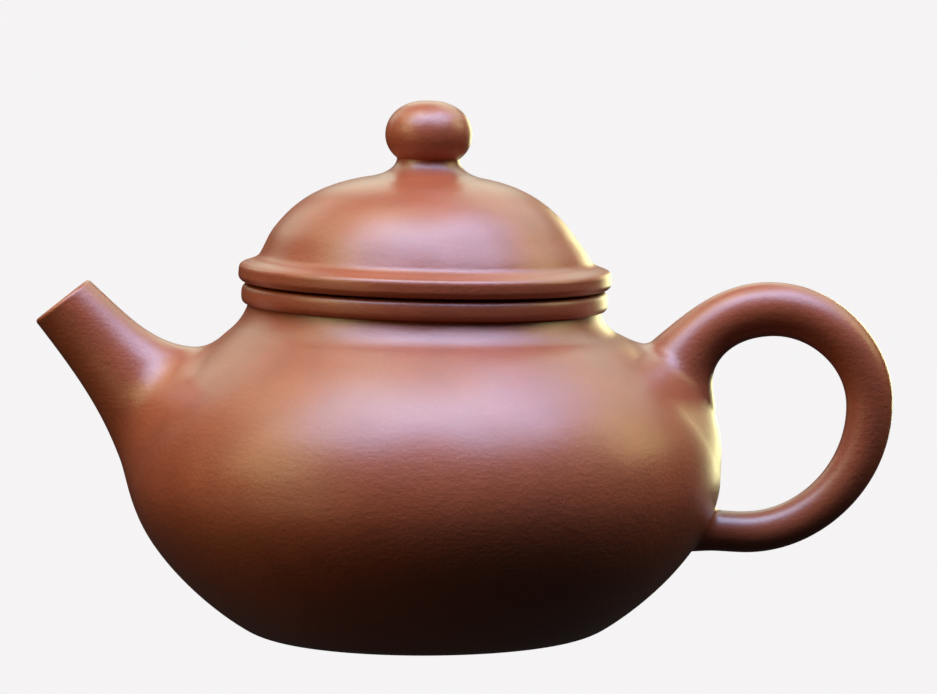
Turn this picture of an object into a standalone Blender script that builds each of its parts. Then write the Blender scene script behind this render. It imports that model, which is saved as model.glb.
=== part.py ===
"""A yixing clay teapot: a pot of luted slabs, rings and coils, and a lid that lifts straight off.

Sizes are millimetres in the constants below and metres in the scene. +Z is up. The origin is on the
pot's axis, on the plane that it stands on. The spout points along -X and the handle along +X.
"""

import math

import bmesh
import bpy
import numpy as np

MM = 0.001

# Fits
JOINT_GAP = 0.3  # between two pieces of clay that are luted together
SEAT_GAP = 0.3  # between the mouth ring and the lid that rests on it
FLANGE_CLEARANCE = 0.3  # all round, between the mouth and the lid's locating ring

# Body
FOOT_R = 24.8
FOOT_CURVE_R = 10.5
FOOT_RISE = math.radians(31.5)
BELLY_R = 48.5
BELLY_HEIGHT = 26.0
LOWER_PULL = (7.3, 10.5)
UPPER_PULL = (8.6, 12.1)
SHOULDER_SLOPE = math.radians(33)
NECK_R = 28.6
NECK_CURVE_R = 7.6
NECK_HEIGHT = 56.0  # of the neck's narrowest place, which the spout and handle are measured down from
WALL = 2.8
BASE_THICKNESS = 3.2
BASE_BEVEL = 0.6
SHOULDER_DROP = 11.5  # down to the top of the beaten wall
BAND_DROP = 5.8  # down to the edge of the shoulder slab

# Mouth
NECK_WALL = 1.9
RING_DROP = 2.3  # down to the foot of the mouth ring
RING_HEIGHT = 3.5
RING_BULGE = 1.1
RING_ROUND = 0.9

# Lid
RIM_OVERHANG = 0.55
RIM_EDGE_HEIGHT = 2.9
RIM_HEIGHT = 4.7
RIM_ROUND = 1.2
RIM_LEAN = 0.2
RIM_SHELF = 3.6  # from the rim's edge in to the foot of the dome
DOME_HEIGHT = 13.6
DOME_RISE = math.radians(62)
DOME_PULL = (10.0, 16.0)
DOME_WALL = 2.6
FLANGE_DEPTH = 9.0
FLANGE_WALL = 2.0
FLANGE_BEVEL = 0.5
KNOB_R = 7.15
KNOB_HALF_HEIGHT = 5.6
KNOB_NECK_R = 5.1
KNOB_NECK_SPREAD = 2.6
KNOB_NECK_HEIGHT = 2.6
KNOB_NECK_EDGE = 0.3
AIR_HOLE_R = 1.0

# Spout
LIP_R = 5.1
LIP_WALL = 1.7
LIP_REACH = 11.2  # from the belly's side out to the middle of the lip
LIP_DROP = 1.1
SPOUT_WAY = math.radians(128)
SPOUT_TOP_DROP = 8.4
SPOUT_TOP_WAYS = (math.radians(185), math.radians(146))  # of its upper edge, at the root and at the lip
SPOUT_LOW_HEIGHT = 23.0
SPOUT_LOW_WAY = math.radians(107)
SPOUT_ROOT_HALF_WIDTH = 10.5
SPOUT_FLARE = 2.2
SPOUT_HOLE_R = 6.0

# Strainer
STRAINER_LAP = 2.8  # from the spout's hole out to the ball
STRAINER_WALL = 1.4
STRAINER_SINK = 1.5  # from the inside of the wall back to the middle of the ball
STRAINER_SKIRT = 3.0
STRAINER_HOLE_R = 0.85
STRAINER_RINGS = ((0, 1), (29, 6), (53, 12))  # angle from the axis in degrees, number of holes

# Handle, along the middle of the clay: reaches are from the belly's side, drops from the narrow neck
HANDLE_ROOT_DROP = 13.0
HANDLE_ROOT_WAY = math.radians(62)
HANDLE_TOP_REACH = 8.5
HANDLE_TOP_DROP = 2.5
HANDLE_SIDE_REACH = 24.6
HANDLE_SIDE_HEIGHT = 37.8
HANDLE_LOW_REACH = 4.2
HANDLE_LOW_HEIGHT = 16.7
HANDLE_END_HEIGHT = 17.0
HANDLE_THICKNESS = (9.9, 8.9, 7.6, 6.7, 6.7)  # root, top, side, bottom, end
HANDLE_FLARES = (5.5, 1.2)  # more thickness at the root and at the end
HANDLE_SINK = 6.0

TURNS = 36
SMALL_TURNS = 24
HANDLE_TURNS = 14
SPOUT_STEPS = 8
HANDLE_STEPS = 6  # rings in each quarter of the ear

# What follows from those sizes
MOUTH_R = NECK_R - NECK_WALL
RING_FOOT_Z = NECK_HEIGHT - RING_DROP
MOUTH_Z = RING_FOOT_Z + RING_HEIGHT
SEAT_Z = MOUTH_Z + SEAT_GAP
FLANGE_R = MOUTH_R - FLANGE_CLEARANCE
FLANGE_BORE_R = FLANGE_R - FLANGE_WALL
RIM_TOP_Z = SEAT_Z + RIM_HEIGHT
CROWN_Z = RIM_TOP_Z + DOME_HEIGHT
KNOB_Z = CROWN_Z + KNOB_NECK_HEIGHT - JOINT_GAP

SPOUT_SIDE = np.array((-1.0, 1.0))  # takes a radius and a height to the spout's side of the X-Z plane
CLAY_COLOUR = (0.30, 0.115, 0.075)
BURNISHED = 0.5
RAW = 0.6


def heading(angle):
    return np.array((math.cos(angle), math.sin(angle)))


def bezier(start, pull_start, pull_end, end, count=24):
    """Points on a cubic curve between two ends, each with its own pull point."""
    t = np.linspace(0.0, 1.0, count)[:, None]
    weights = ((1 - t) ** 3, 3 * (1 - t) ** 2 * t, 3 * (1 - t) * t**2, t**3)
    points = (start, pull_start, pull_end, end)
    return sum(weight * np.asarray(point) for weight, point in zip(weights, points))


def arc(centre, radius, first, last, count):
    """Points on an arc from one angle to another."""
    angles = np.linspace(first, last, count)
    return np.column_stack((centre[0] + radius * np.cos(angles), centre[1] + radius * np.sin(angles)))


def smooth_path(points, ways, steps):
    """A path through points, each with the way that it is passed, and steps to each stretch."""
    path = [np.asarray(points[0])[None]]
    for first, second, way_out, way_in in zip(points, points[1:], ways, ways[1:]):
        pull = 0.38 * np.linalg.norm(second - first)
        path.append(bezier(first, first + pull * way_out, second - pull * way_in, second, steps + 1)[1:])
    return np.vstack(path)


def body_outline():
    """The outside of the body from its flat foot's edge to the narrow neck, as (radius, height)."""
    foot = arc((FOOT_R, FOOT_CURVE_R), FOOT_CURVE_R, -math.pi / 2, FOOT_RISE - math.pi / 2, 12)
    widest = np.array((BELLY_R, BELLY_HEIGHT))
    up = np.array((0.0, 1.0))
    foot_pull = foot[-1] + LOWER_PULL[0] * heading(FOOT_RISE)
    lower = bezier(foot[-1], foot_pull, widest - LOWER_PULL[1] * up, widest)
    neck_centre = (NECK_R + NECK_CURVE_R, NECK_HEIGHT)
    neck = arc(neck_centre, NECK_CURVE_R, 1.5 * math.pi - SHOULDER_SLOPE, math.pi, 16)
    shoulder_pull = neck[0] + UPPER_PULL[1] * heading(-SHOULDER_SLOPE)
    upper = bezier(widest, widest + UPPER_PULL[0] * up, shoulder_pull, neck[0])
    return np.vstack((foot, lower[1:], upper[1:], neck[1:]))


OUTLINE = body_outline()
RUN = np.insert(np.cumsum(np.linalg.norm(np.diff(OUTLINE, axis=0), axis=1)), 0, 0.0)
TANGENT = np.gradient(OUTLINE, RUN, axis=0)
TANGENT /= np.linalg.norm(TANGENT, axis=1)[:, None]


def run_at(height):
    """The distance along the outline at which it reaches a height."""
    return np.interp(height, OUTLINE[:, 1], RUN)


def body_points(first, last, count, inset=0.0):
    """Points between two distances along the outline, moved into the clay by inset."""
    run = np.linspace(first, last, count)
    radius, height, out, up = [np.interp(run, RUN, column) for column in (*OUTLINE.T, *TANGENT.T)]
    return np.column_stack((radius - inset * up, height + inset * out))


def body_point(height, inset=0.0):
    return body_points(run_at(height), run_at(height), 1, inset)[0]


def body_form(inset):
    """The section of the solid whose skin lies inset inside the body's outside, from the axis to the axis."""
    skin = body_points(0.0, RUN[-1], 40, inset)
    return np.vstack(((0.0, skin[0][1]), skin, (0.0, skin[-1][1])))


def wall_section(first, last, count):
    """The closed section of a stretch of the wall, with half a joint's gap left at each end."""
    ends = (first + JOINT_GAP / 2, last - JOINT_GAP / 2)
    return np.vstack((body_points(*ends, count), body_points(*ends, count, WALL)[::-1]))


def clay(name, roughness):
    """Unglazed clay."""
    material = bpy.data.materials.new(name + "_clay")
    material.use_nodes = True
    shader = material.node_tree.nodes["Principled BSDF"]
    shader.inputs["Base Color"].default_value = (*CLAY_COLOUR, 1.0)
    shader.inputs["Roughness"].default_value = roughness
    shader.inputs["Metallic"].default_value = 0.0
    material.diffuse_color = (*CLAY_COLOUR, 1.0)
    return material


def mesh_object(name, form, parent):
    """Makes an object from a form in millimetres about the world's origin. Its own origin is its parent's."""
    bmesh.ops.remove_doubles(form, verts=form.verts, dist=0.001)
    bmesh.ops.recalc_face_normals(form, faces=form.faces)
    bmesh.ops.scale(form, vec=(MM, MM, MM), verts=form.verts)
    if parent:
        bmesh.ops.translate(form, vec=-parent.location, verts=form.verts)
    mesh = bpy.data.meshes.new(name)
    form.to_mesh(mesh)
    form.free()
    made = bpy.data.objects.new(name, mesh)
    bpy.context.scene.collection.objects.link(made)
    made.parent = parent
    return made


def add_piece(name, form, parent, roughness=BURNISHED):
    made = mesh_object(name, form, parent)
    made.data.materials.append(clay(name, roughness))
    made.data.shade_smooth()
    made.data.set_sharp_from_angle(angle=math.radians(40))
    return made


def add_cutter(name, form):
    made = mesh_object(name, form, None)
    made.hide_render = True
    made.display_type = "WIRE"
    return made


def boolean(made, cutter, operation):
    modifier = made.modifiers.new(cutter.name, "BOOLEAN")
    modifier.operation = operation
    modifier.object = cutter


def turned(section, closed=True, turns=TURNS):
    """A solid of revolution about Z. An open section runs from the axis to the axis."""
    form = bmesh.new()
    points = [form.verts.new((radius, 0.0, height)) for radius, height in section]
    pairs = list(zip(points, points[1:]))
    if closed:
        pairs.append((points[-1], points[0]))
    edges = [form.edges.new(pair) for pair in pairs]
    bmesh.ops.spin(
        form, geom=points + edges, axis=(0, 0, 1), cent=(0, 0, 0), steps=turns, angle=math.tau, use_merge=True
    )
    return form


def ring_points(middle, half_tall, half_wide, tall_way, count):
    """An ellipse that stands across the X-Z plane, half_wide along Y and half_tall along tall_way."""
    angles = np.linspace(0.0, math.tau, count, endpoint=False)
    x, z = np.outer(tall_way, half_tall * np.cos(angles)) + np.reshape(middle, (2, 1))
    return np.column_stack((x, half_wide * np.sin(angles), z))


def pipe_rings(path, ways, radii, count=SMALL_TURNS):
    """Round rings square to a path in the X-Z plane."""
    rings = []
    for middle, way, radius in zip(path, ways, radii):
        way = way / np.linalg.norm(way)
        rings.append(ring_points(middle, radius, radius, (-way[1], way[0]), count))
    return rings


def lofted(rings, tube=False):
    """A skin over rings of one count. A tube joins its last ring to its first, others have capped ends."""
    form = bmesh.new()
    made = [[form.verts.new(point) for point in ring] for ring in rings]
    spans = list(zip(made, made[1:]))
    if tube:
        spans.append((made[-1], made[0]))
    else:
        form.faces.new(made[0][::-1])
        form.faces.new(made[-1])
    for first, second in spans:
        for i in range(len(first)):
            j = (i + 1) % len(first)
            form.faces.new((first[i], first[j], second[j], second[i]))
    return form


def rod(start, end, radius, count=8):
    """A straight rod between two points of space."""
    way = (end - start) / np.linalg.norm(end - start)
    side = np.cross(way, (0.0, 0.0, 1.0))
    side /= np.linalg.norm(side)
    angles = np.linspace(0.0, math.tau, count, endpoint=False)[:, None]
    ring = radius * (np.cos(angles) * side + np.sin(angles) * np.cross(way, side))
    return lofted((start + ring, end + ring))


def joined(forms):
    """One form from several."""
    whole = bmesh.new()
    for form in forms:
        mesh = bpy.data.meshes.new("form")
        form.to_mesh(mesh)
        form.free()
        whole.from_mesh(mesh)
        bpy.data.meshes.remove(mesh)
    return whole


def base_disc():
    edge = FOOT_R - JOINT_GAP / 2
    bevel = ((edge - BASE_BEVEL, BASE_THICKNESS), (edge, BASE_THICKNESS - BASE_BEVEL))
    return turned(((0.0, BASE_THICKNESS), *bevel, (edge, 0.0), (0.0, 0.0)), closed=False)


def neck_band():
    """Follows the outline outside, and is bored straight to the mouth's size inside."""
    ends = (run_at(NECK_HEIGHT - BAND_DROP) + JOINT_GAP / 2, run_at(RING_FOOT_Z) - JOINT_GAP / 2)
    outside = body_points(*ends, 5)
    under = body_points(ends[0], ends[0], 1, WALL)
    bore = ((MOUTH_R, outside[-1][1]), (MOUTH_R, under[0][1] + NECK_WALL / 3))
    return turned(np.vstack((outside, bore, under)))


def mouth_ring():
    foot_r = body_point(RING_FOOT_Z)[0]
    foot_z = RING_FOOT_Z + JOINT_GAP / 2
    edge_r = foot_r + RING_BULGE
    round_z = MOUTH_Z - RING_ROUND
    side = bezier((foot_r, foot_z), (edge_r, foot_z), (edge_r, foot_z + RING_ROUND), (edge_r, round_z), 5)
    corner = arc((edge_r - RING_ROUND, round_z), RING_ROUND, 0.0, math.pi / 2, 4)
    return turned(np.vstack((side, corner[1:], (MOUTH_R, MOUTH_Z), (MOUTH_R, foot_z))))


def spout_line():
    """The middle of the lip, the way that the spout points, and where that line meets the body's outside."""
    lip = np.array((-(BELLY_R + LIP_REACH), NECK_HEIGHT - LIP_DROP))
    way = heading(SPOUT_WAY)
    above_belly = OUTLINE[:, 1] > BELLY_HEIGHT
    away = OUTLINE[above_belly] * SPOUT_SIDE - lip
    run = np.interp(0.0, away[:, 0] * way[1] - away[:, 1] * way[0], RUN[above_belly])
    return lip, way, body_points(run, run, 1)[0] * SPOUT_SIDE


def spout():
    """A flared skin from within the belly up to the lip, and a tapered bore back down through the wall."""
    lip, way, hole = spout_line()
    saddle = body_point(NECK_HEIGHT - SPOUT_TOP_DROP) * SPOUT_SIDE
    low = body_point(SPOUT_LOW_HEIGHT) * SPOUT_SIDE
    across = LIP_R * heading(SPOUT_WAY + math.pi / 2)
    upper = smooth_path((saddle, lip - across), [heading(angle) for angle in SPOUT_TOP_WAYS], SPOUT_STEPS)
    lower = smooth_path((low, lip + across), (heading(SPOUT_LOW_WAY), way), SPOUT_STEPS)
    buried = 2.0 * WALL * way
    upper = np.vstack((saddle - buried, upper))
    lower = np.vstack((low - buried, lower))
    to_lip = np.insert(np.linspace(0.0, 1.0, SPOUT_STEPS + 1), 0, 0.0)
    half_widths = LIP_R + (SPOUT_ROOT_HALF_WIDTH - LIP_R) * (1.0 - to_lip) ** SPOUT_FLARE
    skin = []
    for high, below, half_wide in zip(upper, lower, half_widths):
        tall = np.linalg.norm(high - below)
        skin.append(ring_points((high + below) / 2, tall / 2, half_wide, (high - below) / tall, SMALL_TURNS))
    to_hole = np.linspace(0.0, 1.0, SPOUT_STEPS)
    path = np.vstack((lip + to_hole[:, None] * (hole - lip), hole - 1.5 * buried))
    bore_r = LIP_R - LIP_WALL
    radii = bore_r + (SPOUT_HOLE_R - bore_r) * np.append(to_hole, 1.0) ** 2
    return lofted(skin + pipe_rings(path, [-way] * len(path), radii), tube=True)


def spout_hole():
    """The drill that opens the wall into the spout's bore."""
    way, hole = spout_line()[1:]
    reach = 3.0 * WALL * way
    return lofted(pipe_rings((hole - reach, hole + reach), (way, way), (SPOUT_HOLE_R, SPOUT_HOLE_R)))


def strainer_frame():
    """The middle of the ball, its axis into the tea, and two ways square to that axis."""
    way, hole = spout_line()[1:]
    axis = (body_point(hole[1], 1.0) - body_point(hole[1])) * SPOUT_SIDE
    middle = hole + WALL / way.dot(axis) * way - STRAINER_SINK * axis
    axis = np.array((axis[0], 0.0, axis[1]))
    side = np.array((0.0, 1.0, 0.0))
    return np.array((middle[0], 0.0, middle[1])), axis, side, np.cross(axis, side)


def strainer_ball():
    middle, axis, side, other = strainer_frame()
    bore = SPOUT_HOLE_R + STRAINER_LAP
    radius = bore + STRAINER_WALL
    outside = arc((0.0, 0.0), radius, math.pi / 2, 0.0, 7)
    skirt = ((radius, -STRAINER_SKIRT), (bore, -STRAINER_SKIRT))
    form = turned(np.vstack((outside, skirt, arc((0.0, 0.0), bore, 0.0, math.pi / 2, 7))), False, SMALL_TURNS)
    for vert in form.verts:
        vert.co = middle + vert.co.x * side + vert.co.y * other + vert.co.z * axis
    return form


def strainer_holes():
    """The rods that pierce the ball, in rings about its axis."""
    middle, axis, side, other = strainer_frame()
    bore = SPOUT_HOLE_R + STRAINER_LAP
    rods = []
    for lean, number in STRAINER_RINGS:
        for turn in np.linspace(0.0, math.tau, number, endpoint=False):
            away = math.cos(turn) * side + math.sin(turn) * other
            line = math.cos(math.radians(lean)) * axis + math.sin(math.radians(lean)) * away
            ends = (middle + 0.8 * bore * line, middle + (bore + 2 * STRAINER_WALL) * line)
            rods.append(rod(*ends, STRAINER_HOLE_R))
    return joined(rods)


def handle():
    """Round sections along the ear, from within the shoulder, over the ring and back into the belly."""
    points = (
        body_point(NECK_HEIGHT - HANDLE_ROOT_DROP),
        np.array((BELLY_R + HANDLE_TOP_REACH, NECK_HEIGHT - HANDLE_TOP_DROP)),
        np.array((BELLY_R + HANDLE_SIDE_REACH, HANDLE_SIDE_HEIGHT)),
        np.array((BELLY_R + HANDLE_LOW_REACH, HANDLE_LOW_HEIGHT)),
        body_point(HANDLE_END_HEIGHT),
    )
    ways = [heading(angle) for angle in (HANDLE_ROOT_WAY, 0.0, -math.pi / 2, math.pi, math.pi)]
    path = smooth_path(points, ways, HANDLE_STEPS)
    quarters = np.linspace(0.0, len(points) - 1, len(path))
    thickness = np.interp(quarters, range(len(points)), HANDLE_THICKNESS)
    for flare, way_off in zip(HANDLE_FLARES, (quarters, quarters[-1] - quarters)):
        thickness += flare * np.clip(1.0 - way_off, 0.0, 1.0) ** 4
    path = np.vstack((path[0] - HANDLE_SINK * ways[0], path, path[-1] + HANDLE_SINK * ways[-1]))
    radii = np.pad(thickness / 2, 1, mode="edge")
    return lofted(pipe_rings(path, np.gradient(path, axis=0), radii, HANDLE_TURNS))


def lid_flange():
    top = SEAT_Z - JOINT_GAP
    low = SEAT_Z - FLANGE_DEPTH
    inside = ((FLANGE_BORE_R, top), (FLANGE_BORE_R, low + FLANGE_BEVEL), (FLANGE_BORE_R + FLANGE_BEVEL, low))
    return turned(((FLANGE_R, top), *inside, (FLANGE_R - FLANGE_BEVEL, low), (FLANGE_R, low + FLANGE_BEVEL)))


def rim_radius():
    return body_point(RING_FOOT_Z)[0] + RING_BULGE + RIM_OVERHANG


def lid_rim():
    """A ring with a rounded edge and a slope up to the foot of the dome."""
    edge_r = rim_radius()
    dome_r = edge_r - RIM_SHELF
    edge_z = SEAT_Z + RIM_EDGE_HEIGHT
    top_z = RIM_TOP_Z - JOINT_GAP / 2
    under = arc((edge_r - RIM_ROUND, SEAT_Z + RIM_ROUND), RIM_ROUND, -math.pi / 2, 0.0, 4)
    rise = (top_z - edge_z) / 2
    pulls = ((dome_r + RIM_SHELF / 3, edge_z + rise), (dome_r, top_z - rise / 2))
    shelf = bezier((edge_r - RIM_LEAN, edge_z), *pulls, (dome_r, top_z), 5)
    return turned(np.vstack((under, shelf, (FLANGE_BORE_R, top_z), (FLANGE_BORE_R, SEAT_Z))))


def dome_curve(inset, count):
    foot = np.array((rim_radius() - RIM_SHELF - inset, RIM_TOP_Z + JOINT_GAP / 2))
    crown = np.array((0.0, CROWN_Z - inset))
    foot_pull = foot + DOME_PULL[0] * heading(math.pi - DOME_RISE)
    return bezier(foot, foot_pull, crown + (DOME_PULL[1], 0.0), crown, count)


def lid_dome():
    """Two domes, joined at the foot and round the air hole in the crown."""
    air_hole = ((AIR_HOLE_R, CROWN_Z), (AIR_HOLE_R, CROWN_Z - DOME_WALL))
    return turned(np.vstack((dome_curve(0.0, 10)[:-1], air_hole, dome_curve(DOME_WALL, 7)[-2::-1])))


def knob_neck():
    """A waisted coil whose underside follows the dome."""
    above_dome = dome_curve(-JOINT_GAP, 40)[::-1]
    under_r = np.linspace(AIR_HOLE_R, KNOB_NECK_R + KNOB_NECK_SPREAD, 5)
    under = np.column_stack((under_r, np.interp(under_r, *above_dome.T)))
    foot = under[-1] + (0.0, KNOB_NECK_EDGE)
    top = KNOB_Z - JOINT_GAP / 2
    pulls = ((KNOB_NECK_R, foot[1] + KNOB_NECK_EDGE), (KNOB_NECK_R, 0.6 * foot[1] + 0.4 * top))
    waist = bezier(foot, *pulls, (KNOB_NECK_R, top), 6)
    return turned(np.vstack((under, waist, (AIR_HOLE_R, top))), turns=SMALL_TURNS)


def knob():
    """A flattened ball, cut flat where it sits on its neck."""
    low = KNOB_Z + JOINT_GAP / 2
    first = -math.acos(KNOB_NECK_R / KNOB_R)
    angles = np.linspace(first, math.acos(AIR_HOLE_R / KNOB_R), 11)
    heights = low + KNOB_HALF_HEIGHT * (np.sin(angles) - math.sin(first))
    ball = np.column_stack((KNOB_R * np.cos(angles), heights))
    return turned(np.vstack((ball, (AIR_HOLE_R, low))), turns=SMALL_TURNS)


def make_pot(pot):
    outside = add_cutter("body_outside", turned(body_form(-JOINT_GAP), closed=False))
    inside = add_cutter("body_inside", turned(body_form(WALL + JOINT_GAP), closed=False))
    wall_top = run_at(NECK_HEIGHT - SHOULDER_DROP)
    add_piece("base_disc", base_disc(), pot, RAW)
    belly = add_piece("belly_wall", turned(wall_section(0.0, wall_top, 19)), pot)
    boolean(belly, add_cutter("spout_hole", spout_hole()), "DIFFERENCE")
    add_piece("shoulder_slab", turned(wall_section(wall_top, run_at(NECK_HEIGHT - BAND_DROP), 5)), pot)
    add_piece("neck_band", neck_band(), pot)
    add_piece("mouth_ring", mouth_ring(), pot)
    boolean(add_piece("spout", spout(), pot), outside, "DIFFERENCE")
    boolean(add_piece("handle", handle(), pot), outside, "DIFFERENCE")
    strainer = add_piece("strainer", strainer_ball(), pot, RAW)
    boolean(strainer, add_cutter("strainer_holes", strainer_holes()), "DIFFERENCE")
    boolean(strainer, inside, "INTERSECT")


def make_lid(lid):
    add_piece("lid_flange", lid_flange(), lid, RAW)
    add_piece("lid_rim", lid_rim(), lid)
    add_piece("lid_dome", lid_dome(), lid)
    add_piece("knob_neck", knob_neck(), lid)
    add_piece("knob", knob(), lid)


for leftover in list(bpy.data.objects):
    bpy.data.objects.remove(leftover, do_unlink=True)

groups = {"pot": 0.0, "lid": MOUTH_Z}
for name, height in groups.items():
    group = bpy.data.objects.new(name, None)
    group.location = (0.0, 0.0, height * MM)
    bpy.context.scene.collection.objects.link(group)
make_pot(bpy.data.objects["pot"])
make_lid(bpy.data.objects["lid"])
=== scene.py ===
"""Looks of a yixing clay teapot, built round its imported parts.

Sizes are millimetres in the shaping code and metres in the scene. +Z is up, the spout points along -X and the
handle along +X. Every piece takes its place from the part it stands for.
"""

import math

import bpy
import numpy as np
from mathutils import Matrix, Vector


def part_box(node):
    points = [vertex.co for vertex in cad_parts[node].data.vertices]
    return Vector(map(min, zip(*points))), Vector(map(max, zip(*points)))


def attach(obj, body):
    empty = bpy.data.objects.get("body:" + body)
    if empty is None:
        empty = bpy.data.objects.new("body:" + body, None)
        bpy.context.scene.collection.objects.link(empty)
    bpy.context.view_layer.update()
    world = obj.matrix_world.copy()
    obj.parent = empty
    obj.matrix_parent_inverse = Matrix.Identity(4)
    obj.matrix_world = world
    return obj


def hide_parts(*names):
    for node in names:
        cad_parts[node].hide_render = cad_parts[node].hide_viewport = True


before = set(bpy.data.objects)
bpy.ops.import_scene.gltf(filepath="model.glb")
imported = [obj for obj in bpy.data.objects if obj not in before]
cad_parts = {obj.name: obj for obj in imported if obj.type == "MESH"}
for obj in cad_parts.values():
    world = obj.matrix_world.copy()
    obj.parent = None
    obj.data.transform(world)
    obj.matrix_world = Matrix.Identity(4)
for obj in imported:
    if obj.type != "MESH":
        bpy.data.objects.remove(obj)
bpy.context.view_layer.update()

MM = 0.001


def corners(node):
    """The lowest and highest corner of a part, in millimetres."""
    return [np.array(corner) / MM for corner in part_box(node)]


def radius_of(node):
    return corners(node)[1][1]


def low_of(node):
    return corners(node)[0][2]


def top_of(node):
    return corners(node)[1][2]


# Heights and radii that the parts give
BASE_TOP = top_of("base_disc")
BASE_R = radius_of("base_disc")
WALL_TOP = top_of("belly_wall")
SHOULDER_TOP = top_of("shoulder_slab")
RING_FOOT = low_of("mouth_ring")
MOUTH_Z = top_of("mouth_ring")
RING_R = radius_of("mouth_ring")
SEAT_Z = low_of("lid_rim")
RIM_TOP = low_of("lid_dome")
RIM_R = radius_of("lid_rim")
DOME_R = radius_of("lid_dome")
CROWN_Z = top_of("lid_dome")
FLANGE_R = radius_of("lid_flange")
FLANGE_LOW = low_of("lid_flange")
KNOB_LOW = low_of("knob")
KNOB_TOP = top_of("knob")
KNOB_R = radius_of("knob")

# Body
FOOT_R = 24.8
FOOT_CURVE_R = 10.5
FOOT_RISE = math.radians(31.5)
BELLY_R = 48.5
BELLY_HEIGHT = 26.0
LOWER_PULL = (7.3, 10.5)
UPPER_PULL = (8.6, 12.1)
SHOULDER_SLOPE = math.radians(33)
NECK_R = 28.6
NECK_CURVE_R = 7.6
NECK_HEIGHT = 56.0
WALL = 2.8
FLANGE_CLEARANCE = 0.3  # all round, between the mouth and the lid's locating ring
MOUTH_R = FLANGE_R + FLANGE_CLEARANCE
FLANGE_WALL = 2.0

# Lid
RIM_EDGE_HEIGHT = 2.9
RIM_ROUND = 1.2  # of its lower corner
RIM_ROUNDING = 1.0  # how far its upper corner is rounded to each side
RIM_CORNER_POINT = 14  # of the slope behind the corner, where the rounding aims
DOME_RISE = math.radians(62)
DOME_PULL = (10.0, 16.0)
DOME_WALL = 2.6
KNOB_NECK_R = 5.1
KNOB_NECK_SPREAD = 4.6
KNOB_FULLNESS = 0.86
AIR_HOLE_R = 1.0

# Spout
LIP_R = 5.5
LIP_WALL = 1.7
LIP = np.array((-(BELLY_R + 11.06), NECK_HEIGHT - 0.96))
SPOUT_WAY = math.radians(128)
SADDLE_HEIGHT = NECK_HEIGHT - 8.7
SPOUT_TOP_WAYS = (math.radians(185), math.radians(138))
SPOUT_LOW_HEIGHT = 23.0
SPOUT_LOW_WAY = math.radians(107)
SPOUT_ROOT_HALF_WIDTH = 10.5
SPOUT_FLARE = 2.2
SPOUT_HOLE_R = 6.0
SPOUT_OVERRUN = (3.0, 8.0)  # how far it goes on into the clay past its own root
LIP_ROUND = 0.6  # of the lip's outer edge
LIP_ROUND_INSIDE = 0.45
DRILL_REACH = 9.0  # to both sides of the wall
DRILL_CLEARANCE = 0.05

# Strainer
BALL_BORE = 8.8
BALL_WALL = 1.4
BALL_SINK = 1.5
BALL_SKIRT = 6.0  # how far its edge goes on into the wall
STRAINER_HOLE_R = 0.85
STRAINER_RINGS = ((0, 1), (29, 6), (53, 12))  # angle from the axis in degrees, number of holes
STRAINER_ROOT = 1.2

# Handle
HANDLE_POINTS = ((BELLY_R + 8.5, NECK_HEIGHT - 2.5), (BELLY_R + 24.6, 37.8), (BELLY_R + 4.2, 16.7))
HANDLE_ROOTS = (NECK_HEIGHT - 13.0, 17.0)
HANDLE_ROOT_WAY = math.radians(62)
HANDLE_THICKNESS = (9.9, 8.9, 7.6, 6.7, 6.7)  # root, top, side, bottom, end
HANDLE_FLARES = (5.5, 0.2)  # more thickness at the root and at the end
HANDLE_TOP_TRIM = 1.2  # how much less its upper side swells towards the root
HANDLE_ROOT_TRIM = 0.2  # and a little more of that right at the root
HANDLE_SINK = 12.0

# Rolled roots: how far up the tube each roll starts, and how far out on the skin it ends. The three values
# are for the outer side (above the spout, outside the handle's ear), the flanks and the inner side.
SPOUT_CLIMB = (3.0, 8.0, 6.0)
SPOUT_SPREAD = (3.0, 9.0, 7.0)
HANDLE_TOP_CLIMB = (2.4, 4.5, 3.5)
HANDLE_TOP_SPREAD = (4.0, 8.5, 9.0)
HANDLE_LOW_CLIMB = (0.5, 2.0, 1.7)
HANDLE_LOW_SPREAD = (0.5, 2.2, 1.8)
LEAVE_PULL = 0.58  # how long a roll keeps to its tube
LAND_PULL = 0.88  # and to the skin

# The hand of the potter
LEAN = math.radians(1.5)  # the neck and the lid sit down a little on the handle's side
LEAN_HEIGHTS = (44.0, 54.0)
LEAN_RADII = (31.0, 36.0)
HAND_DEPTH = 0.06
HAND_RADII = (12.0, 30.0)  # the unevenness grows from nothing to full between these
HAND_HEIGHTS = (1.0, 12.0)
HANDLE_SWELL = 0.7  # how much fuller the belly is under the handle's upper root
SWELL_HEIGHT = 35.5
SWELL_REACH = 9.0
SWELL_WIDTH = 0.5  # in radians round the belly
SWELL_RADII = (50.0, 62.0)  # it fades out between these, so the handle keeps its form
DOME_PUSH = 0.4  # how far the dome stands towards the spout

# Edges, curvature and pear skin: ridges get a painted highlight and more shine, hollows get painted shade and
# less shine
CREASE_ANGLE = math.radians(42)
RIDGE_BENDS = (0.25, 1.1)  # where the painted highlight and the extra shine on ridges start, and where they are full
HOLLOW_BENDS = (0.12, 0.8)
ROOT_CLEAR = (0.6, 2.5)  # no painted highlight, painted shade or shine change is drawn nearer to the skin than this on the spout and the handle
# painted highlight that lightens the clay on ridges, and painted shade that darkens it in hollows
PAINTED_HIGHLIGHT_TINT = (1.18, 1.15, 1.12, 1)
PAINTED_SHADE_TINT = (0.72, 0.66, 0.62, 1)
PEAR_SKIN_DEPTH = 0.00012  # in metres

TURNS = 256
TUBE_TURNS = 96
WELD = 2e-6  # in metres
SPOUT_SIDE = np.array((-1.0, 1.0))  # takes a radius and a height to the spout's side of the X-Z plane


# ---------------------------------------------------------------- curves
def heading(angle):
    return np.array((math.cos(angle), math.sin(angle)))


def unit(vectors):
    return vectors / np.linalg.norm(vectors, axis=-1, keepdims=True)


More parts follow.
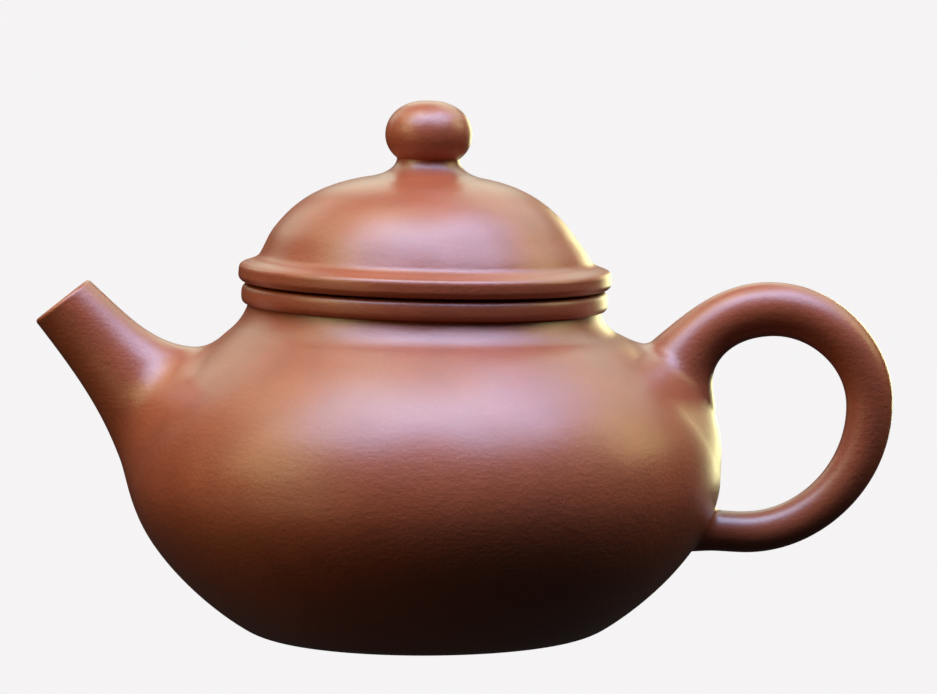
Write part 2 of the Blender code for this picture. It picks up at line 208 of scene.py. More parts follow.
def bezier(start, pull_start, pull_end, end, count=24):
    t = np.linspace(0.0, 1.0, count)[:, None]
    weights = ((1 - t) ** 3, 3 * (1 - t) ** 2 * t, 3 * (1 - t) * t**2, t**3)
    points = (start, pull_start, pull_end, end)
    return sum(weight * np.asarray(point) for weight, point in zip(weights, points))


def arc(centre, radius, first, last, count):
    angles = np.linspace(first, last, count)
    return np.column_stack((centre[0] + radius * np.cos(angles), centre[1] + radius * np.sin(angles)))


def smooth_path(points, ways, steps):
    """A path through points, each passed along its own way."""
    path = [np.asarray(points[0])[None]]
    for first, second, way_out, way_in in zip(points, points[1:], ways, ways[1:]):
        pull = 0.38 * np.linalg.norm(second - first)
        path.append(bezier(first, first + pull * way_out, second - pull * way_in, second, steps + 1)[1:])
    return np.vstack(path)


def smoothstep(value, first, last):
    t = np.clip((value - first) / (last - first), 0.0, 1.0)
    return t * t * (3.0 - 2.0 * t)


def lengths(points):
    return np.insert(np.cumsum(np.linalg.norm(np.diff(points, axis=0), axis=1)), 0, 0.0)


def along(points, run, at):
    """Points at given distances along a curve in any number of dimensions."""
    return np.column_stack([np.interp(at, run, column) for column in np.asarray(points).T])


def eased(points, reach, steps=7):
    """A line of points with every corner but its ends rounded over a reach to both sides."""
    points = np.asarray(points, float)
    made = [points[:1]]
    t = np.linspace(0.0, 1.0, steps)[:, None]
    for before, corner, after in zip(points, points[1:], points[2:]):
        back, ahead = before - corner, after - corner
        half = min(reach, 0.45 * np.linalg.norm(back), 0.45 * np.linalg.norm(ahead))
        first, last = corner + half * unit(back), corner + half * unit(ahead)
        made.append((1 - t) ** 2 * first + 2 * t * (1 - t) * corner + t**2 * last)
    return np.vstack((*made, points[-1:]))


# ---------------------------------------------------------------- the body's skin
def body_outline():
    """The outside of the body from its foot up to the narrow neck: (radius, height)."""
    foot = arc((FOOT_R, FOOT_CURVE_R), FOOT_CURVE_R, -math.pi / 2, FOOT_RISE - math.pi / 2, 60)
    widest = np.array((BELLY_R, BELLY_HEIGHT))
    up = np.array((0.0, 1.0))
    foot_pull = foot[-1] + LOWER_PULL[0] * heading(FOOT_RISE)
    lower = bezier(foot[-1], foot_pull, widest - LOWER_PULL[1] * up, widest, 200)
    neck_centre = (NECK_R + NECK_CURVE_R, NECK_HEIGHT)
    neck = arc(neck_centre, NECK_CURVE_R, 1.5 * math.pi - SHOULDER_SLOPE, math.pi, 80)
    neck_pull = neck[0] + UPPER_PULL[1] * heading(-SHOULDER_SLOPE)
    upper = bezier(widest, widest + UPPER_PULL[0] * up, neck_pull, neck[0], 200)
    return np.vstack((foot, lower[1:], upper[1:], neck[1:]))


OUTLINE = body_outline()
RUN = lengths(OUTLINE)
TANGENT = np.gradient(OUTLINE, RUN, axis=0)
TANGENT /= np.linalg.norm(TANGENT, axis=1)[:, None]


def run_at(height):
    return np.interp(height, OUTLINE[:, 1], RUN)


def body_points(first, last, count, inset=0.0):
    run = np.linspace(first, last, count)
    radius, height, out, up = [np.interp(run, RUN, column) for column in (*OUTLINE.T, *TANGENT.T)]
    return np.column_stack((radius - inset * up, height + inset * out))


def body_point(height, inset=0.0):
    return body_points(run_at(height), run_at(height), 1, inset)[0]


def nearest_skin(points, inset=0.0):
    """How far outside the skin each point is, the nearest point of the skin, and the skin's normal there."""
    flat = points.reshape(-1, 3)
    around = np.hypot(flat[:, 0], flat[:, 1])
    place = np.column_stack((around, flat[:, 2]))
    base = OUTLINE + inset * np.column_stack((-TANGENT[:, 1], TANGENT[:, 0]))
    nearest = np.empty(len(place), int)
    for part in range(0, len(place), 4000):
        gap = place[part:part + 4000, None] - base[None]
        nearest[part:part + 4000] = (gap**2).sum(2).argmin(1)
    step = ((place - base[nearest]) * TANGENT[nearest]).sum(1)
    run = np.clip(RUN[nearest] + step, RUN[0], RUN[-1])
    tangent = along(TANGENT, RUN, run)
    tangent /= np.linalg.norm(tangent, axis=1)[:, None]
    normal = np.column_stack((tangent[:, 1], -tangent[:, 0]))
    spot = along(base, RUN, run)
    outside = ((place - spot) * normal).sum(1)
    turn = flat[:, :2] / np.maximum(around, 1e-9)[:, None]
    shape = points.shape
    spots, normals = [
        np.column_stack((pair[:, :1] * turn, pair[:, 1])).reshape(shape) for pair in (spot, normal)
    ]
    return outside.reshape(shape[:-1]), spots, normals


def rooted(curves, climb, spread, tube_steps, blend_steps, inset=0.0, side=1.0):
    """Lands the curves of a tube on the skin with a rolled root.

    curves[step, turn] run from the open air into the clay. Each leaves the tube at climb before it would
    enter the skin and lies down on it at spread beyond. The rows that come back end just under the skin.
    """
    outside = side * nearest_skin(curves, inset)[0]
    count = curves.shape[1]
    runs = [lengths(curves[:, turn]) for turn in range(count)]

    def on_curves(distances):
        """Where each curve is at its own distance along it."""
        return np.array([along(curves[:, turn], runs[turn], [distances[turn]])[0] for turn in range(count)])

    enters = np.empty(count)
    for turn in range(count):
        step = int(np.argmax(outside[:, turn] < 0.0))
        high, low = outside[step - 1, turn], outside[step, turn]
        enters[turn] = np.interp(high / (high - low), (0.0, 1.0), runs[turn][step - 1:step + 1])
    _, entry, normal = nearest_skin(on_curves(enters), inset)
    tangent = np.roll(entry, -1, axis=0) - np.roll(entry, 1, axis=0)
    away = unit(np.cross(tangent, normal))
    away *= np.sign((away * (entry - entry.mean(0))).sum(1).mean())
    _, landing, landing_normal = nearest_skin(entry + spread[:, None] * away, inset)
    back = unit(-away + (away * landing_normal).sum(1)[:, None] * landing_normal)
    leave = on_curves(enters - climb)
    on = unit(on_curves(enters - climb + 0.2) - leave)
    rows = [on_curves(share * (enters - climb)) for share in np.linspace(0.0, 1.0, tube_steps)]
    pull_leave = leave + LEAVE_PULL * np.linalg.norm(entry - leave, axis=1)[:, None] * on
    sunk = landing - side * 0.02 * landing_normal
    pull_land = sunk + LAND_PULL * np.linalg.norm(entry - landing, axis=1)[:, None] * back
    for t in np.linspace(0.0, 1.0, blend_steps + 1)[1:]:
        held = (1 - t) ** 3 * leave + 3 * (1 - t) ** 2 * t * pull_leave
        rows.append(held + 3 * (1 - t) * t**2 * pull_land + t**3 * sunk)
    tail = nearest_skin(landing + 0.5 * away, inset)
    rows.append(tail[1] - side * 0.25 * tail[2])
    rows.append(landing - side * 1.2 * landing_normal)
    return rows


def hand_formed(points):
    """Slight unevenness, the same for every piece: neck and lid lean towards the handle, the wall waves."""
    x, y, z = points.T
    radius = np.hypot(x, y)
    upper = smoothstep(z, *LEAN_HEIGHTS) * (1.0 - smoothstep(radius, *LEAN_RADII))
    lean = math.sin(LEAN) * upper
    turn = np.arctan2(y, x)
    wave = np.sin(3 * turn + 0.11 * z) + 0.7 * np.sin(5 * turn - 0.17 * z + 1.3)
    wave += 0.5 * np.sin(2 * turn + 0.31 * z)
    wave *= HAND_DEPTH * smoothstep(radius, *HAND_RADII) * smoothstep(z, *HAND_HEIGHTS) * (1.0 - upper)
    near = np.clip((z - SWELL_HEIGHT) / SWELL_REACH, -1.0, 1.0)
    swell = HANDLE_SWELL * np.cos(near * math.pi / 2) ** 2 * np.exp(-(turn / SWELL_WIDTH) ** 2)
    swell *= smoothstep(radius, *HAND_RADII) * (1.0 - smoothstep(radius, *SWELL_RADII))
    grow = 1.0 + (wave + swell) / np.maximum(radius, 1.0)
    push = DOME_PUSH * smoothstep(z, RIM_TOP, RIM_TOP + 4.0)
    push *= 1.0 - smoothstep(z, CROWN_Z - 5.0, CROWN_Z + 1.0)
    return np.column_stack((x * grow + (z - SEAT_Z) * lean - push, y * grow, z - x * lean))


# ---------------------------------------------------------------- meshes
def placed(name, data):
    """A new object in the scene for a mesh, a light or a camera."""
    made = bpy.data.objects.new(name, data)
    bpy.context.scene.collection.objects.link(made)
    return made


def plain_object(name, points, edges=(), faces=()):
    mesh = bpy.data.meshes.new(name)
    mesh.from_pydata(*([tuple(item) for item in items] for items in (points, edges, faces)))
    mesh.update()
    return placed(name, mesh)


def solid_mesh(made):
    """The evaluated mesh of a helper, which is then removed."""
    bpy.context.view_layer.update()
    graph = bpy.context.evaluated_depsgraph_get()
    mesh = bpy.data.meshes.new_from_object(made.evaluated_get(graph))
    old = made.data
    bpy.data.objects.remove(made, do_unlink=True)
    bpy.data.meshes.remove(old)
    return mesh


def coordinates(mesh):
    points = np.empty(len(mesh.vertices) * 3, np.float32)
    mesh.vertices.foreach_get("co", points)
    return points.reshape(-1, 3).astype(float)


def set_coordinates(mesh, points):
    mesh.vertices.foreach_set("co", points.astype(np.float32).ravel())
    mesh.update()


def signed_volume(mesh):
    mesh.calc_loop_triangles()
    corner = np.empty(len(mesh.loop_triangles) * 3, np.int32)
    mesh.loop_triangles.foreach_get("vertices", corner)
    points = coordinates(mesh)[corner.reshape(-1, 3)]
    return np.linalg.det(points).sum() / 6.0


def face_outwards(mesh):
    if signed_volume(mesh) < 0.0:
        mesh.flip_normals()


def curvature(mesh):
    """How far each vertex stands proud of its neighbours, per millimetre of the way to them."""
    points = coordinates(mesh) / MM
    normals = np.empty(len(mesh.vertices) * 3, np.float32)
    mesh.vertices.foreach_get("normal", normals)
    normals = normals.reshape(-1, 3)
    ends = np.empty(len(mesh.edges) * 2, np.int32)
    mesh.edges.foreach_get("vertices", ends)
    first, last = ends.reshape(-1, 2).T
    way = points[last] - points[first]
    length = np.maximum((way**2).sum(1), 1e-8)
    total = np.zeros(len(points))
    weight = np.zeros(len(points))
    np.add.at(total, first, -(normals[first] * way).sum(1) / np.sqrt(length))
    np.add.at(total, last, (normals[last] * way).sum(1) / np.sqrt(length))
    np.add.at(weight, first, np.sqrt(length))
    np.add.at(weight, last, np.sqrt(length))
    bend = 2.0 * total / np.maximum(weight, 1e-6)
    hard = np.zeros(len(mesh.edges), bool)
    mesh.attributes["sharp_edge"].data.foreach_get("value", hard)
    hidden = np.zeros(len(points), bool)
    hidden[first[hard]] = hidden[last[hard]] = True
    for _ in range(2):
        reached = hidden[first] | hidden[last]
        hidden[first[reached]] = hidden[last[reached]] = True
    bend[hidden] = 0.0
    for _ in range(3):
        spread = np.zeros(len(points))
        number = np.zeros(len(points))
        np.add.at(spread, first, bend[last])
        np.add.at(spread, last, bend[first])
        np.add.at(number, first, 1.0)
        np.add.at(number, last, 1.0)
        bend = 0.5 * bend + 0.5 * spread / np.maximum(number, 1.0)
    return bend


def finish_piece(name, mesh, node, body, clay):
    """Gives a mesh its hand-made shape and its clay, hides the part it stands for and hangs the piece on its
    body.
    """
    set_coordinates(mesh, hand_formed(coordinates(mesh) / MM) * MM)
    face_outwards(mesh)
    mesh.materials.clear()
    mesh.materials.append(clay)
    mesh.polygons.foreach_set("material_index", [0] * len(mesh.polygons))
    mesh.shade_smooth()
    mesh.set_sharp_from_angle(angle=CREASE_ANGLE)
    # curvature masks: painted highlight and more shine on ridges, painted shade and less shine in hollows
    bend = curvature(mesh)
    if node in ("spout", "handle"):
        bend *= smoothstep(nearest_skin(coordinates(mesh) / MM)[0], *ROOT_CLEAR)
    for label, proud, bends in (("ridge", bend, RIDGE_BENDS), ("hollow", -bend, HOLLOW_BENDS)):
        layer = mesh.attributes.new(label, "FLOAT", "POINT")
        layer.data.foreach_set("value", smoothstep(proud, *bends).astype(np.float32))
    mesh.name = name
    made = placed(name, mesh)
    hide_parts(node)
    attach(made, body)


def set_input(modifier, label, value):
    """Sets a named input of a tree by the identifier of its socket."""
    for item in modifier.node_group.interface.items_tree:
        if item.item_type == "SOCKET" and item.in_out == "INPUT" and item.name == label:
            modifier[item.identifier] = value


def tree_of(name, inputs):
    """A new Geometry Nodes tree with named inputs. The first input and the only output carry the shape."""
    tree = bpy.data.node_groups.new(name, "GeometryNodeTree")
    for label, kind, default in inputs:
        socket = tree.interface.new_socket(label, in_out="INPUT", socket_type=kind)
        if default is not None:
            socket.default_value = default
    tree.interface.new_socket("Clay piece", in_out="OUTPUT", socket_type="NodeSocketGeometry")
    return tree, tree.nodes.new("NodeGroupInput"), tree.nodes.new("NodeGroupOutput")


def add_node(tree, kind, links=None, **settings):
    """A node with its settings, and its inputs linked to sockets or set to values."""
    node = tree.nodes.new(kind)
    for label, value in settings.items():
        setattr(node, label, value)
    for key, value in (links or {}).items():
        socket = node.inputs[key]
        if isinstance(value, bpy.types.NodeSocket):
            tree.links.new(value, socket)
        else:
            socket.default_value = value
    return node


def maths(tree, operation, first, second):
    return add_node(tree, "ShaderNodeMath", {0: first, 1: second}, operation=operation).outputs[0]


def noise(tree, place, scale, detail, roughness):
    inputs = {"Vector": place, "Scale": scale, "Detail": detail, "Roughness": roughness}
    return add_node(tree, "ShaderNodeTexNoise", inputs).outputs[0]


def ranged(tree, value, low, high, first=0.0, last=1.0):
    """Takes low to high onto first to last."""
    return add_node(tree, "ShaderNodeMapRange", {0: value, 1: low, 2: high, 3: first, 4: last}).outputs[0]


def mixed(tree, share, first, second, blend="MIX"):
    """A share of the second colour over the first."""
    inputs = {0: share, 6: first, 7: second}
    return add_node(tree, "ShaderNodeMix", inputs, data_type="RGBA", blend_type=blend).outputs[2]


def turning_tree():
    """Turns a section, drawn as a chain of points in the X-Z plane, once round the Z axis."""
    tree, given, result = tree_of("turned_on_the_wheel", (
        ("Section", "NodeSocketGeometry", None),
        ("Turns", "NodeSocketInt", TURNS),
        ("Weld distance", "NodeSocketFloat", WELD),
        ("Clay", "NodeSocketMaterial", None),
    ))
    section, turns = given.outputs["Section"], given.outputs["Turns"]
    size = add_node(tree, "GeometryNodeAttributeDomainSize", {"Geometry": section}, component="MESH")
    rows = maths(tree, "ADD", turns, 1.0)
    count = size.outputs["Point Count"]
    grid = add_node(tree, "GeometryNodeMeshGrid", {"Vertices X": count, "Vertices Y": rows})
    index = add_node(tree, "GeometryNodeInputIndex").outputs[0]
    column = maths(tree, "FLOOR", maths(tree, "DIVIDE", index, rows), 0.0)
    step = maths(tree, "MODULO", index, rows)
    angle = maths(tree, "MULTIPLY", maths(tree, "DIVIDE", step, turns), math.tau)
    place = add_node(tree, "GeometryNodeInputPosition").outputs[0]
    sample = add_node(tree, "GeometryNodeSampleIndex", {"Geometry": section, "Index": column},
                      data_type="FLOAT_VECTOR", domain="POINT")
    tree.links.new(place, sample.inputs["Value"])
    spun = add_node(tree, "ShaderNodeVectorRotate", {"Vector": sample.outputs["Value"], "Angle": angle},
                    rotation_type="Z_AXIS")
    moved = add_node(tree, "GeometryNodeSetPosition",
                     {"Geometry": grid.outputs["Mesh"], "Position": spun.outputs[0]})
    welded = add_node(tree, "GeometryNodeMergeByDistance",
                      {"Geometry": moved.outputs[0], "Distance": given.outputs["Weld distance"]})
    whole = add_node(tree, "GeometryNodeRealizeInstances", {"Geometry": welded.outputs[0]})
    clay = add_node(tree, "GeometryNodeSetMaterial",
                    {"Geometry": whole.outputs[0], "Material": given.outputs["Clay"]})
    tree.links.new(clay.outputs[0], result.inputs[0])
    return tree


def turned(section, clay, turns=TURNS):
    """A closed mesh of revolution. The section is a loop, or a line from the axis to the axis."""
    section = np.asarray(section, float)
    if section[0][0] > 1e-6 or section[-1][0] > 1e-6:
        section = np.vstack((section, section[:1]))
    points = np.column_stack((section[:, 0], np.zeros(len(section)), section[:, 1])) * MM
    made = plain_object("section", points, [(i, i + 1) for i in range(len(points) - 1)])
    modifier = made.modifiers.new("turned", "NODES")
    modifier.node_group = TURNING
    set_input(modifier, "Turns", turns)
    set_input(modifier, "Weld distance", WELD)
    set_input(modifier, "Clay", clay)
    return solid_mesh(made)


def lofted(rows, tube=False):
    """A mesh over rows of points. A tube joins its last row to its first, else both ends close on a point."""
    rows = [np.asarray(row) for row in rows]
    count = len(rows[0])
    points = np.vstack(rows)
    faces = []
    turn = np.arange(count)
    nxt = (turn + 1) % count
    spans = [(i, i + 1) for i in range(len(rows) - 1)]
    if tube:
        spans.append((len(rows) - 1, 0))
    for first, second in spans:
        a, b = first * count, second * count
        faces += list(zip(a + turn, a + nxt, b + nxt, b + turn))
    if not tube:
        for row, flip in ((0, True), (len(rows) - 1, False)):
            hub = len(points)
            points = np.vstack((points, rows[row].mean(0)))
            a = row * count
            fan = zip(a + nxt, a + turn, [hub] * count) if flip else zip(a + turn, a + nxt, [hub] * count)
            faces += list(fan)
    made = plain_object("loft", points * MM, faces=faces)
    return solid_mesh(made)


def ring_points(middle, half_tall, half_wide, tall_way, count=TUBE_TURNS):
    angles = np.linspace(0.0, math.tau, count, endpoint=False)
    x, z = np.outer(tall_way, half_tall * np.cos(angles)) + np.reshape(middle, (2, 1))
    return np.column_stack((x, half_wide * np.sin(angles), z))


def by_side(top, side, low, count=TUBE_TURNS):
    """A reach for each turn of a tube: at its tall way, at its sides and opposite its tall way."""
    cosine = np.cos(np.linspace(0.0, math.tau, count, endpoint=False))
    return side + (top - side) * np.clip(cosine, 0, 1) ** 2 + (low - side) * np.clip(-cosine, 0, 1) ** 2


# ---------------------------------------------------------------- clay
def colour_group():
    """Zisha clay's colour: a slow drift from red to orange, cloudy value, pale and dark mineral grains."""
    tree = bpy.data.node_groups.new("zisha_colour", "ShaderNodeTree")
    face = tree.interface
    for label, default in (("Red clay", (0.3, 0.11, 0.07, 1)), ("Orange clay", (0.36, 0.15, 0.08, 1)),
                           ("Pale grain", (0.50, 0.21, 0.10, 1)), ("Dark grain", (0.10, 0.035, 0.025, 1))):
        face.new_socket(label, in_out="INPUT", socket_type="NodeSocketColor").default_value = default
    for label, default in (("Drift", 1.0), ("Grains", 0.5)):
        face.new_socket(label, in_out="INPUT", socket_type="NodeSocketFloat").default_value = default
    face.new_socket("Colour", in_out="OUTPUT", socket_type="NodeSocketColor")
    given, result = tree.nodes.new("NodeGroupInput"), tree.nodes.new("NodeGroupOutput")
    place = add_node(tree, "ShaderNodeTexCoord").outputs["Object"]
    rough = 0.6
    share = maths(tree, "MULTIPLY", ranged(tree, noise(tree, place, 26.0, 3.0, rough), 0.38, 0.62),
                  given.outputs["Drift"])
    colour = mixed(tree, share, given.outputs["Red clay"], given.outputs["Orange clay"])
    for label, scale, sizes, patches, patch_edges in (
        ("Pale grain", 1150.0, (0.30, 0.12), 900.0, (0.48, 0.66)),
        ("Dark grain", 760.0, (0.26, 0.08), 700.0, (0.5, 0.64)),
    ):
        cells = add_node(tree, "ShaderNodeTexVoronoi", {"Vector": place, "Scale": scale}).outputs[0]
        sparse = ranged(tree, noise(tree, place, patches, 1.0, rough), *patch_edges)
        grains = maths(tree, "MULTIPLY", ranged(tree, cells, *sizes), sparse)
        share = maths(tree, "MULTIPLY", grains, given.outputs["Grains"])
        colour = mixed(tree, share, colour, given.outputs[label])
    cloud = ranged(tree, noise(tree, place, 190.0, 4.0, rough), 0.3, 0.7, 0.93, 1.06)
    value = add_node(tree, "ShaderNodeHueSaturation", {"Value": cloud, "Color": colour})
    tree.links.new(value.outputs[0], result.inputs[0])
    return tree


def grain_group():
    """Pear skin: fine pits and grains of burnished clay, and the long faint strokes of the scraper."""
    tree = bpy.data.node_groups.new("pear_skin", "ShaderNodeTree")
    face = tree.interface
    for label, default in (("Pits", 1.0), ("Strokes", 0.5)):
        face.new_socket(label, in_out="INPUT", socket_type="NodeSocketFloat").default_value = default
    face.new_socket("Height", in_out="OUTPUT", socket_type="NodeSocketFloat")
    face.new_socket("Dullness", in_out="OUTPUT", socket_type="NodeSocketFloat")
    given, result = tree.nodes.new("NodeGroupInput"), tree.nodes.new("NodeGroupOutput")
    place = add_node(tree, "ShaderNodeTexCoord").outputs["Object"]
    stretched = add_node(tree, "ShaderNodeMapping", {"Vector": place, "Scale": (1.0, 1.0, 2.6)}).outputs[0]
    rough = 0.62
    pits = maths(tree, "MULTIPLY", noise(tree, place, 1500.0, 3.0, rough), given.outputs["Pits"])
    streaks = noise(tree, stretched, 420.0, 4.0, rough)
    strokes = maths(tree, "MULTIPLY", streaks, given.outputs["Strokes"])
    tree.links.new(maths(tree, "ADD", pits, strokes), result.inputs["Height"])
    slow = noise(tree, place, 120.0, 2.0, rough)
    patches = maths(tree, "ADD", slow, maths(tree, "MULTIPLY", streaks, 0.5))
    dull = ranged(tree, patches, 0.45, 1.05, -0.05, 0.07)
    tree.links.new(dull, result.inputs["Dullness"])
    return tree


def zisha(name, red, orange, roughness, grains, pits, strokes, bump, coat):
    """A fired, unglazed clay: shinier and lighter with a painted highlight on ridges, duller and darker with
    painted shade in hollows.
    """
    material = bpy.data.materials.new(name)
    material.use_nodes = True
    tree = material.node_tree
    shader = tree.nodes["Principled BSDF"]
    colour = add_node(tree, "ShaderNodeGroup", node_tree=COLOUR)
    colour.inputs["Red clay"].default_value = (*red, 1)
    colour.inputs["Orange clay"].default_value = (*orange, 1)
    colour.inputs["Grains"].default_value = grains
    grain = add_node(tree, "ShaderNodeGroup", node_tree=GRAIN)
    grain.inputs["Pits"].default_value = pits
    grain.inputs["Strokes"].default_value = strokes
    ridge = add_node(tree, "ShaderNodeAttribute", attribute_name="ridge").outputs["Fac"]
    hollow = add_node(tree, "ShaderNodeAttribute", attribute_name="hollow").outputs["Fac"]
    # painted highlight on ridges, then painted shade in hollows, multiplied into the clay's colour
    painted_highlight_colour = mixed(tree, ridge, colour.outputs[0], PAINTED_HIGHLIGHT_TINT, "MULTIPLY")
    shaded = mixed(tree, hollow, painted_highlight_colour, PAINTED_SHADE_TINT, "MULTIPLY")
    tree.links.new(shaded, shader.inputs["Base Color"])
    duller = maths(tree, "MULTIPLY", hollow, 0.10)
    shinier = maths(tree, "MULTIPLY", ridge, 0.05)
    rough = maths(tree, "ADD", maths(tree, "ADD", grain.outputs["Dullness"], roughness),
                  maths(tree, "SUBTRACT", duller, shinier))
    tree.links.new(rough, shader.inputs["Roughness"])
    skin = add_node(tree, "ShaderNodeBump",
                    {"Height": grain.outputs["Height"], "Strength": bump, "Distance": PEAR_SKIN_DEPTH})
    tree.links.new(skin.outputs[0], shader.inputs["Normal"])
    shader.inputs["Metallic"].default_value = 0.0
    shader.inputs["Specular IOR Level"].default_value = 0.32
    shader.inputs["Coat Weight"].default_value = coat
    shader.inputs["Coat Roughness"].default_value = 0.33
    return material


TURNING = turning_tree()
COLOUR = colour_group()
GRAIN = grain_group()
OUTER = zisha("burnished_zisha", red=(0.285, 0.052, 0.017), orange=(0.320, 0.066, 0.022), roughness=0.49,
              grains=0.12, pits=1.0, strokes=0.9, bump=0.7, coat=1.0)
INNER = zisha("raw_zisha", red=(0.270, 0.062, 0.028), orange=(0.310, 0.080, 0.034), roughness=0.62,
              grains=0.30, pits=1.6, strokes=0.4, bump=0.7, coat=0.0)


# ---------------------------------------------------------------- the pot
def spout_line():
    """The way that the spout points, and where that line from the lip meets the skin."""
    way = heading(SPOUT_WAY)
    above = OUTLINE[:, 1] > BELLY_HEIGHT
    away = OUTLINE[above] * SPOUT_SIDE - LIP
    run = np.interp(0.0, away[:, 0] * way[1] - away[:, 1] * way[0], RUN[above])
    return way, body_points(run, run, 1)[0] * SPOUT_SIDE


def belly_wall():
    """The beaten wall, drilled through for the spout."""
    top = run_at(WALL_TOP)
    section = np.vstack((body_points(0.0, top, 150), body_points(0.0, top, 90, WALL)[::-1]))
    made = placed("wall", turned(section, OUTER))
    way, hole = spout_line()
    drill_r = SPOUT_HOLE_R - DRILL_CLEARANCE
    rows = [ring_points(hole + reach * way, drill_r, drill_r, (-way[1], way[0]), 64)
            for reach in (-DRILL_REACH, DRILL_REACH)]
    drill = placed("drill", lofted(rows))
    for piece in (made, drill):
        face_outwards(piece.data)
    cut = made.modifiers.new("hole", "BOOLEAN")
    cut.operation = "DIFFERENCE"
    cut.solver = "EXACT"
    cut.object = drill
    drilled = solid_mesh(made)
    bpy.data.objects.remove(drill, do_unlink=True)
    return drilled


def shoulder_slab():
    first, last = run_at(WALL_TOP), run_at(SHOULDER_TOP)
    return turned(np.vstack((body_points(first, last, 40), body_points(first, last, 24, WALL)[::-1])), OUTER)


def neck_band():
    """Follows the skin outside and is bored straight inside."""
    first, last = run_at(SHOULDER_TOP), run_at(RING_FOOT)
    outside = body_points(first, last, 40)
    under = body_points(first, first, 1, WALL)[0]
    inside = np.array((MOUTH_R, under[1] + 1.2))
    bore = np.column_stack((np.full(8, MOUTH_R), np.linspace(outside[-1][1], inside[1], 8)))
    foot = bezier(inside, inside - (0, 0.8), under + (-0.2, 0.1), under, 6)
    return turned(np.vstack((outside, bore, foot[1:])), OUTER)


def mouth_ring():
    """A round bead at the mouth with a small groove below it."""
    foot_r = body_point(RING_FOOT)[0]
    side = bezier((foot_r - 0.15, RING_FOOT), (RING_R - 0.1, RING_FOOT + 0.05), (RING_R, RING_FOOT + 0.7),
                  (RING_R, RING_FOOT + 1.6), 14)
    shoulder = bezier((RING_R, RING_FOOT + 1.6), (RING_R, MOUTH_Z - 0.35), (RING_R - 0.4, MOUTH_Z),
                      (RING_R - 1.5, MOUTH_Z), 14)
    inner = eased((shoulder[-1], (MOUTH_R, MOUTH_Z), (MOUTH_R, RING_FOOT)), 0.35)
    return turned(np.vstack((side, shoulder[1:], inner[1:])), OUTER)


def base_disc():
    above = ((0.0, BASE_TOP), (BASE_R / 2, BASE_TOP), (BASE_R, BASE_TOP))
    below = ((BASE_R, 0.0), (BASE_R / 2, 0.0), (0.0, 0.0))
    return turned(eased(above + below, 0.5), INNER)


def spout():
    """A skin from the lip down to a rolled root on the belly, and a bore back up to the lip."""
    way, hole = spout_line()
    saddle = body_point(SADDLE_HEIGHT) * SPOUT_SIDE
    low = body_point(SPOUT_LOW_HEIGHT) * SPOUT_SIDE
    across = LIP_R * heading(SPOUT_WAY + math.pi / 2)
    steps = 64
    upper = smooth_path((saddle, LIP - across), [heading(angle) for angle in SPOUT_TOP_WAYS], steps)
    lower = smooth_path((low, LIP + across), (heading(SPOUT_LOW_WAY), way), steps)
    to_lip = np.linspace(0.0, 1.0, steps + 1)
    half_widths = LIP_R + (SPOUT_ROOT_HALF_WIDTH - LIP_R) * (1.0 - to_lip) ** SPOUT_FLARE
    skin = []
    for high, below, half_wide in zip(upper, lower, half_widths):
        tall = np.linalg.norm(high - below)
        skin.append(ring_points((high + below) / 2, tall / 2, half_wide, (high - below) / tall))
    for reach in SPOUT_OVERRUN:
        skin.insert(0, skin[0] + np.array((-way[0], 0.0, -way[1])) * reach)
    rows = np.array(rooted(np.array(skin)[::-1], by_side(*SPOUT_CLIMB), by_side(*SPOUT_SPREAD), 70, 28))
    bore_r = LIP_R - LIP_WALL
    tall_way = (upper[-1] - lower[-1]) / np.linalg.norm(upper[-1] - lower[-1])
    inner_lip = ring_points(LIP, bore_r, bore_r, tall_way)
    outer_lip = rows[0]
    lip_way = unit(outer_lip - inner_lip)
    space_way = np.array((way[0], 0.0, way[1]))
    below_lip = np.array([
        along(rows[:, turn], lengths(rows[:, turn]), [LIP_ROUND])[0] for turn in range(TUBE_TURNS)
    ])
    rounding = [
        (1 - t) ** 2 * (outer_lip - LIP_ROUND * lip_way) + 2 * t * (1 - t) * outer_lip + t**2 * below_lip
        for t in np.linspace(0.0, 1.0, 9)
    ]
    deep, far = inner_lip - LIP_ROUND_INSIDE * space_way, inner_lip + LIP_ROUND_INSIDE * lip_way
    inner_rounding = [
        (1 - t) ** 2 * deep + 2 * t * (1 - t) * inner_lip + t**2 * far for t in np.linspace(0.0, 1.0, 7)
    ]
    from_lip = np.linalg.norm(rows - outer_lip, axis=2).mean(1)
    kept = list(rows[from_lip > LIP_ROUND + 0.15])
    to_hole = np.linspace(0.0, 1.0, 26)[1:]
    radii = bore_r + (SPOUT_HOLE_R - bore_r) * to_hole**2
    path = LIP + to_hole[:, None] * (hole - LIP)
    bore = [ring_points(middle, radius, radius, tall_way) for middle, radius in zip(path, radii)]
    bore.append(ring_points(hole - 1.5 * way, SPOUT_HOLE_R, SPOUT_HOLE_R, tall_way))
    return lofted(inner_rounding + rounding + kept + bore[::-1], tube=True)


